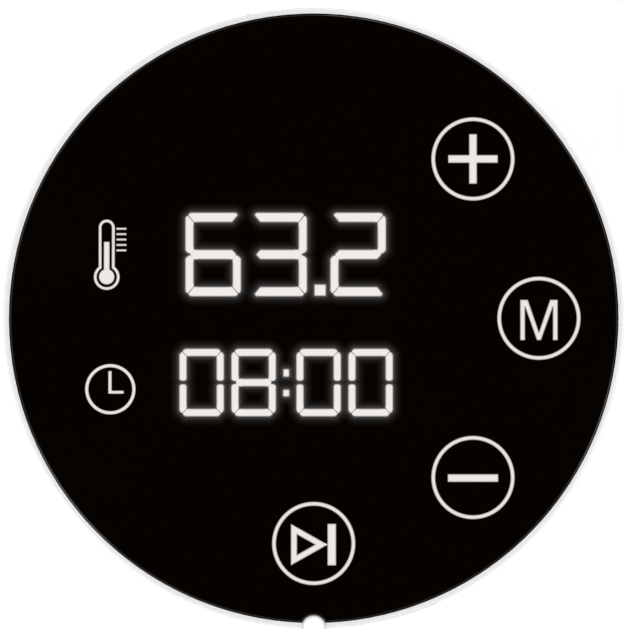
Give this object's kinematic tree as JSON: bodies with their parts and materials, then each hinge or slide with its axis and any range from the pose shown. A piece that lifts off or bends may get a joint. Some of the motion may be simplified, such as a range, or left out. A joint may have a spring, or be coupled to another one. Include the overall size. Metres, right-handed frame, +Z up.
{
  "type": "sous vide circulator",
  "caption": "Stick circulator with a round touch-panel head, sealed body, spring pot clip, steel skirt over a heating coil, and a twist-off base cap.",
  "frame": {"origin": "centre of the base cap's flat underside, where the stick stands on a pot's floor", "axes": "+Z up along the stick; -Y towards the user, where the status light is; +Y towards the pot clip and the cord inlet; +X to the user's right"},
  "size_m": [0.0716, 0.0835, 0.33],
  "materials": {
    "housing": "fine textured matte black",
    "steel": "brushed round the tube",
    "heater_steel": "drawn, slightly straw-tinted",
    "cap_plastic": "fine satin",
    "trim_silver": "pale satin",
    "seam_trim": "satin",
    "black_glass": "polished black glass with printed and lit marks",
    "light_guide": "milky translucent",
    "rubber": "matte",
    "gland_rubber": "matte",
    "inner_plastic": "moulded",
    "bush": "self-lubricating, off-white",
    "board_green": "solder mask",
    "component_black": "moulded epoxy",
    "display_case": "potted",
    "touch_foam": "conductive foam",
    "ribbon": "flat cable",
    "transformer_core": "taped winding",
    "heatsink_metal": "extruded",
    "ceramic": "fired ceramic",
    "sensor_pins": "drawn",
    "bearing_steel": "polished",
    "motor_steel": "zinc plated",
    "copper": "enamelled copper",
    "wire_insulation": "silicone insulation"
  },
  "bodies": {
    "skirt": {"skirt_tube": "steel"},
    "cap": {"base_cap": "cap_plastic", "shaft_guide": "bush"},
    "rotor": {"drive_shaft": "heater_steel", "rotor_magnet": "motor_steel", "impeller": "cap_plastic", "shaft_clips": "bearing_steel", "cooling_fan": "inner_plastic"},
    "lever": {"clip_lever": "housing", "lever_pad": "rubber"},
    "unit": {"body_sleeve": "housing", "head_shell": "housing", "clip_bracket": "housing", "seal_flange": "housing", "heater_ferrules": "steel", "heater_element": "heater_steel", "temperature_probe": "heater_steel", "bezel_ring": "trim_silver", "seam_ring": "seam_trim", "top_glass": "black_glass", "status_light_pipe": "light_guide", "skirt_oring": "rubber", "flange_oring": "rubber", "glass_gasket": "rubber", "body_pad": "rubber", "shaft_seal": "rubber", "motor_isolator": "rubber", "cord_gland": "gland_rubber", "gland_nut": "inner_plastic", "chassis_frame": "inner_plastic", "terminal_block": "inner_plastic", "buzzer": "inner_plastic", "relay": "inner_plastic", "motor_end_plate": "inner_plastic", "display_board": "board_green", "power_board": "board_green", "board_components": "component_black", "capacitors": "component_black", "triac": "component_black", "temperature_display": "display_case", "timer_display": "display_case", "touch_pads": "touch_foam", "display_ribbon": "ribbon", "transformer": "transformer_core", "emi_choke": "transformer_core", "heatsink": "heatsink_metal", "motor_mount": "heatsink_metal", "heater_terminals": "ceramic", "level_electrodes": "sensor_pins", "shaft_bearing": "bearing_steel", "motor_bearings": "bearing_steel", "case_screws": "bearing_steel", "small_screws": "bearing_steel", "bracket_screws": "bearing_steel", "clip_pin": "bearing_steel", "clip_spring": "bearing_steel", "motor_can": "motor_steel", "stator_core": "motor_steel", "stator_windings": "copper", "wiring": "wire_insulation"}
  },
  "joints": [
    {"name": "cap_twist", "type": "hinge", "parent": "skirt", "child": "cap", "pos_m": [0, 0, 0.019], "axis": [0, 0, 1], "range_deg": [0, 24]},
    {"name": "unit_lift", "type": "slide", "parent": "skirt", "child": "unit", "axis": [0, 0, 1], "range_m": [0, 0.17]},
    {"name": "shaft_spin", "type": "hinge", "parent": "unit", "child": "rotor", "pos_m": [0, 0, 0.1], "axis": [0, 0, 1], "continuous": true},
    {"name": "clip_squeeze", "type": "hinge", "parent": "unit", "child": "lever", "pos_m": [0, 0.0385, 0.21], "axis": [1, 0, 0], "range_deg": [0, 18], "stiffness_Nm_per_rad": 0.35, "springref_deg": -28.65, "deforming": ["clip_spring"]}
  ]
}
